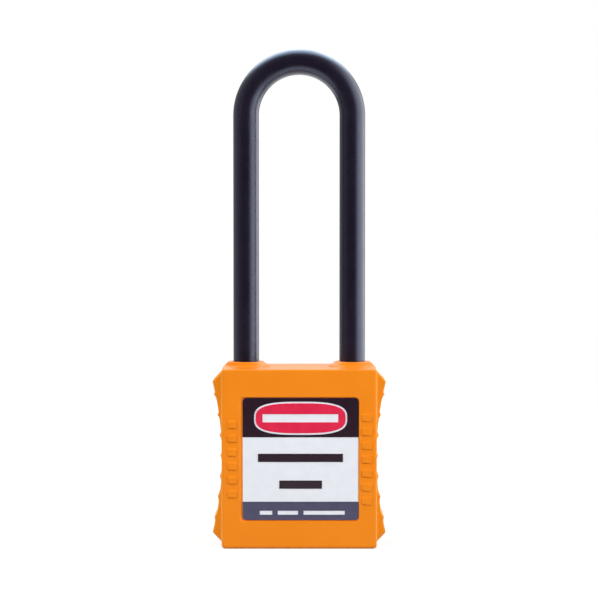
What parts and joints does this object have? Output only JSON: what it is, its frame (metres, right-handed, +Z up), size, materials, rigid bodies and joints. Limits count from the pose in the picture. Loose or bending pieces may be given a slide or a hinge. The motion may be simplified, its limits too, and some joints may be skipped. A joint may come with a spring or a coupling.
{
  "type": "lockout padlock",
  "caption": "Moulded lockout padlock with a long slim insulated shackle, ribbed grip wings at its sides, a label recess front and back, and a key cylinder in its base.",
  "frame": {"origin": "middle of the base on which the padlock stands", "axes": "+Z up along the shackle, +X to the toe leg of the shackle, +Y to the back, away from the printed label"},
  "size_m": [0.0428, 0.0206, 0.1226],
  "materials": {
    "orange_nylon": "moulded nylon with a fine satin grain",
    "black_nylon": "moulded nylon, half gloss",
    "black_acetal": "moulded, plain",
    "brass": "turned",
    "plug_brass": "turned face",
    "ball_steel": "polished",
    "cam_steel": "sintered",
    "pin_steel": "ground",
    "rivet_steel": "plain",
    "spring_steel": "drawn wire",
    "label_white": "film, half gloss",
    "ink_black": "printed",
    "ink_red": "printed",
    "ink_slate": "printed"
  },
  "bodies": {
    "lock_body": {"housing": "orange_nylon", "base_plate": "orange_nylon", "base_rivets": "rivet_steel", "lock_frame": "black_acetal", "shackle_spring": "spring_steel", "shackle_retaining_pin": "pin_steel", "cylinder_shell": "brass", "chamber_cover": "brass", "front_label": "label_white", "label_black": "ink_black", "label_red": "ink_red", "label_slate": "ink_slate", "rear_label": "label_white", "rear_label_lines": "ink_black", "pin_spring_1": "spring_steel", "pin_spring_2": "spring_steel", "pin_spring_3": "spring_steel", "pin_spring_4": "spring_steel", "pin_spring_5": "spring_steel", "pin_spring_6": "spring_steel"},
    "shackle_body": {"shackle": "black_nylon"},
    "plug_body": {"cylinder_plug": "plug_brass", "locking_cam": "cam_steel", "plug_clip": "spring_steel"},
    "left_ball": {"locking_ball_left": "ball_steel"},
    "right_ball": {"locking_ball_right": "ball_steel"},
    "key_pin_body_1": {"key_pin_1": "brass"},
    "key_pin_body_2": {"key_pin_2": "brass"},
    "key_pin_body_3": {"key_pin_3": "brass"},
    "key_pin_body_4": {"key_pin_4": "brass"},
    "key_pin_body_5": {"key_pin_5": "brass"},
    "key_pin_body_6": {"key_pin_6": "brass"},
    "driver_pin_body_1": {"driver_pin_1": "pin_steel"},
    "driver_pin_body_2": {"driver_pin_2": "pin_steel"},
    "driver_pin_body_3": {"driver_pin_3": "pin_steel"},
    "driver_pin_body_4": {"driver_pin_4": "pin_steel"},
    "driver_pin_body_5": {"driver_pin_5": "pin_steel"},
    "driver_pin_body_6": {"driver_pin_6": "pin_steel"}
  },
  "joints": [
    {"name": "plug_turn", "type": "hinge", "parent": "lock_body", "child": "plug_body", "pos_m": [0, 0, 0], "axis": [0, 0, 1], "range_deg": [0, 90]},
    {"name": "left_ball_slide", "type": "slide", "parent": "lock_body", "child": "left_ball", "axis": [-1, 0, 0], "range_m": [0, 0.0013]},
    {"name": "right_ball_slide", "type": "slide", "parent": "lock_body", "child": "right_ball", "axis": [1, 0, 0], "range_m": [0, 0.0013]},
    {"name": "shackle_lift", "type": "slide", "parent": "lock_body", "child": "shackle_body", "axis": [0, 0, 1], "range_m": [0, 0.012], "deforming": ["shackle_spring"]},
    {"name": "key_pin_slide_1", "type": "slide", "parent": "plug_body", "child": "key_pin_body_1", "axis": [0, 1, 0], "range_m": [0, 0.0016]},
    {"name": "key_pin_slide_2", "type": "slide", "parent": "plug_body", "child": "key_pin_body_2", "axis": [0, 1, 0], "range_m": [0, 0.0007]},
    {"name": "key_pin_slide_3", "type": "slide", "parent": "plug_body", "child": "key_pin_body_3", "axis": [0, 1, 0], "range_m": [0, 0.00205]},
    {"name": "key_pin_slide_4", "type": "slide", "parent": "plug_body", "child": "key_pin_body_4", "axis": [0, 1, 0], "range_m": [0, 0.00025]},
    {"name": "key_pin_slide_5", "type": "slide", "parent": "plug_body", "child": "key_pin_body_5", "axis": [0, 1, 0], "range_m": [0, 0.0025]},
    {"name": "key_pin_slide_6", "type": "slide", "parent": "plug_body", "child": "key_pin_body_6", "axis": [0, 1, 0], "range_m": [0, 0.00115]},
    {"name": "driver_pin_slide_1", "type": "slide", "parent": "lock_body", "child": "driver_pin_body_1", "axis": [1, 0, 0], "range_m": [0, 0.0015], "stiffness_N_per_m": 100, "springref_m": -0.003, "deforming": ["pin_spring_1"]},
    {"name": "driver_pin_slide_2", "type": "slide", "parent": "lock_body", "child": "driver_pin_body_2", "axis": [1, 0, 0], "range_m": [0, 0.0015], "stiffness_N_per_m": 100, "springref_m": -0.003, "deforming": ["pin_spring_2"]},
    {"name": "driver_pin_slide_3", "type": "slide", "parent": "lock_body", "child": "driver_pin_body_3", "axis": [1, 0, 0], "range_m": [0, 0.0015], "stiffness_N_per_m": 100, "springref_m": -0.003, "deforming": ["pin_spring_3"]},
    {"name": "driver_pin_slide_4", "type": "slide", "parent": "lock_body", "child": "driver_pin_body_4", "axis": [1, 0, 0], "range_m": [0, 0.0015], "stiffness_N_per_m": 100, "springref_m": -0.003, "deforming": ["pin_spring_4"]},
    {"name": "driver_pin_slide_5", "type": "slide", "parent": "lock_body", "child": "driver_pin_body_5", "axis": [1, 0, 0], "range_m": [0, 0.0015], "stiffness_N_per_m": 100, "springref_m": -0.003, "deforming": ["pin_spring_5"]},
    {"name": "driver_pin_slide_6", "type": "slide", "parent": "lock_body", "child": "driver_pin_body_6", "axis": [1, 0, 0], "range_m": [0, 0.0015], "stiffness_N_per_m": 100, "springref_m": -0.003, "deforming": ["pin_spring_6"]}
  ],
  "couplings": [
    {"joint": "left_ball_slide", "follows": "plug_turn", "m_per_rad": 0.000827},
    {"joint": "right_ball_slide", "follows": "plug_turn", "m_per_rad": 0.000827}
  ]
}
